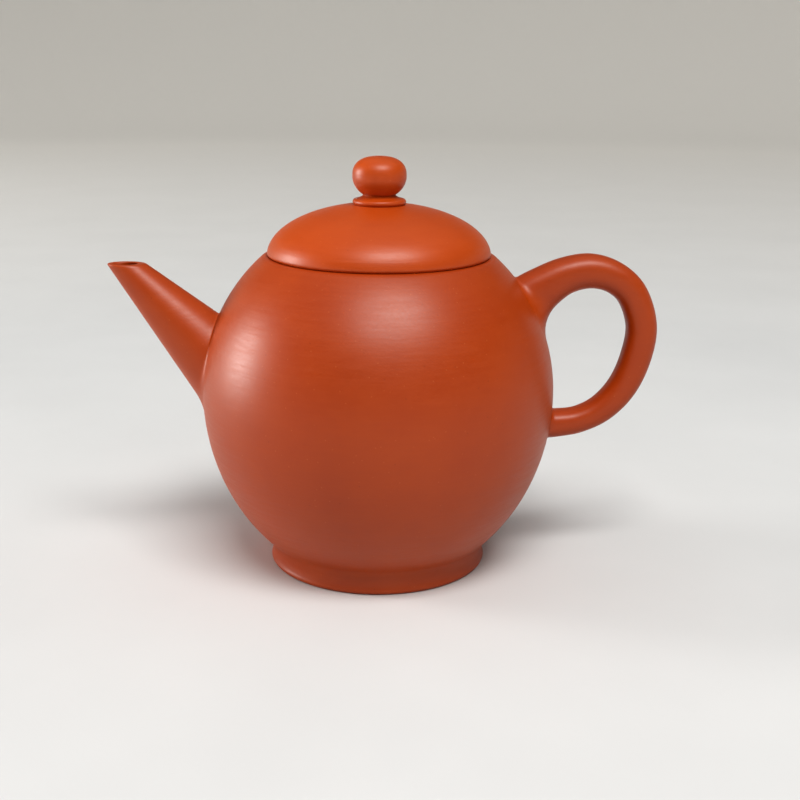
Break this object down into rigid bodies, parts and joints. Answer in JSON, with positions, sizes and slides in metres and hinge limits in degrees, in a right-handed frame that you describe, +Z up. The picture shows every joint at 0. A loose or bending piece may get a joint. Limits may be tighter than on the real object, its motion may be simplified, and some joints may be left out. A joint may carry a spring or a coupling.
{
  "type": "clay teapot",
  "caption": "Round-bellied unglazed clay teapot with a straight spout, ear handle, ring foot, ball strainer inside and a domed lift-off lid with a vented ball knob.",
  "frame": {"origin": "centre of the foot ring, on the surface that the pot stands on", "axes": "+Z up along the pot's axis, spout towards -X, handle towards +X, Y across the pot"},
  "size_m": [0.121, 0.078, 0.091],
  "materials": {
    "burnished_clay": "unglazed red clay, burnished to a soft satin",
    "lid_clay": "unglazed red clay, burnished to a soft satin, slightly brighter",
    "raw_clay": "unglazed red clay, wiped but not burnished, matt"
  },
  "bodies": {
    "pot": {"body_wall": "burnished_clay", "base_slab": "raw_clay", "foot_ring": "burnished_clay", "mouth_ring": "burnished_clay", "spout": "burnished_clay", "strainer_dome": "raw_clay", "handle": "burnished_clay"},
    "lid": {"lid_dome": "lid_clay", "lid_rim_plate": "lid_clay", "lid_flange": "raw_clay", "knob_collar": "lid_clay", "knob": "lid_clay"}
  },
  "joints": [
    {"name": "lid_lift", "type": "slide", "parent": "pot", "child": "lid", "axis": [0, 0, 1], "range_m": [0, 0.06]}
  ]
}
